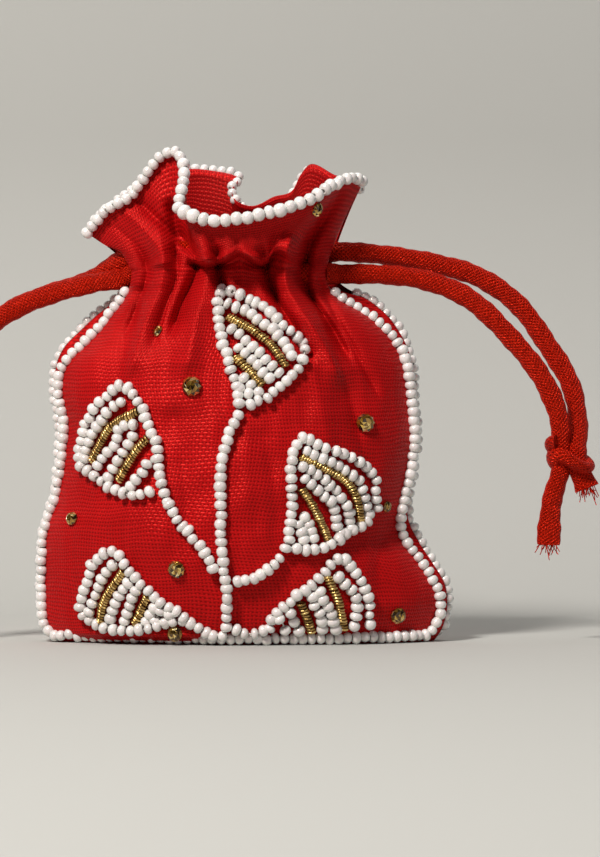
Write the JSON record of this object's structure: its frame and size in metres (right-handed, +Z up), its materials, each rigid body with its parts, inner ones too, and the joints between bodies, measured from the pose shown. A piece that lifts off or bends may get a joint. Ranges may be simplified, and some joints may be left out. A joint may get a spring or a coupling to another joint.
{
  "type": "potli bag",
  "caption": "Small drawstring pouch of woven silk with a gathered neck, beaded edges and a beaded leaf branch on the front",
  "frame": {"origin": "centre of the bag's footprint on the surface that it stands on", "axes": "+Z up, the beaded front faces -Y, +X to the right as the front is seen"},
  "size_m": [0.1375, 0.0399, 0.0995],
  "materials": {
    "cloth": "satin",
    "lining": "matte",
    "cord": "satin",
    "beads": "pearl",
    "gold_thread": "satin",
    "stones": "polished"
  },
  "bodies": {
    "root": {"front_panel": "cloth", "back_panel": "cloth", "casing_front": "lining", "casing_back": "lining", "drawstring_left": "cord", "drawstring_right": "cord", "knot_left": "cord", "knot_right": "cord", "edge_beads_front": "beads", "edge_beads_back": "beads", "rim_beads_front": "beads", "rim_beads_back": "beads", "stem": "beads", "branch_left": "beads", "branch_right": "beads", "branch_low_left": "beads", "leaf_top_outline": "beads", "leaf_top_outer_row": "beads", "leaf_top_gold_upper": "gold_thread", "leaf_top_row_upper": "beads", "leaf_top_row_lower": "beads", "leaf_top_gold_lower": "gold_thread", "leaf_top_tip_fill": "beads", "leaf_left_outline": "beads", "leaf_left_outer_row": "beads", "leaf_left_gold_upper": "gold_thread", "leaf_left_row_upper": "beads", "leaf_left_row_middle": "beads", "leaf_left_gold_lower": "gold_thread", "leaf_left_row_lower": "beads", "leaf_right_outline": "beads", "leaf_right_outer_row": "beads", "leaf_right_gold_upper": "gold_thread", "leaf_right_row_upper": "beads", "leaf_right_row_middle": "beads", "leaf_right_gold_lower": "gold_thread", "leaf_right_row_lower": "beads", "leaf_low_left_outline": "beads", "leaf_low_left_outer_row": "beads", "leaf_low_left_gold_upper": "gold_thread", "leaf_low_left_row_upper": "beads", "leaf_low_left_row_middle": "beads", "leaf_low_left_gold_lower": "gold_thread", "leaf_low_left_row_lower": "beads", "leaf_low_right_outline": "beads", "leaf_low_right_outer_row": "beads", "leaf_low_right_gold_upper": "gold_thread", "leaf_low_right_row_upper": "beads", "leaf_low_right_row_middle": "beads", "leaf_low_right_gold_lower": "gold_thread", "leaf_low_right_row_lower": "beads", "stone_shoulder": "stones", "stone_centre": "stones", "stone_right": "stones", "stone_left": "stones", "stone_middle": "stones", "stone_side": "stones", "stone_low": "stones", "stone_corner": "stones"}
  },
  "joints": []
}
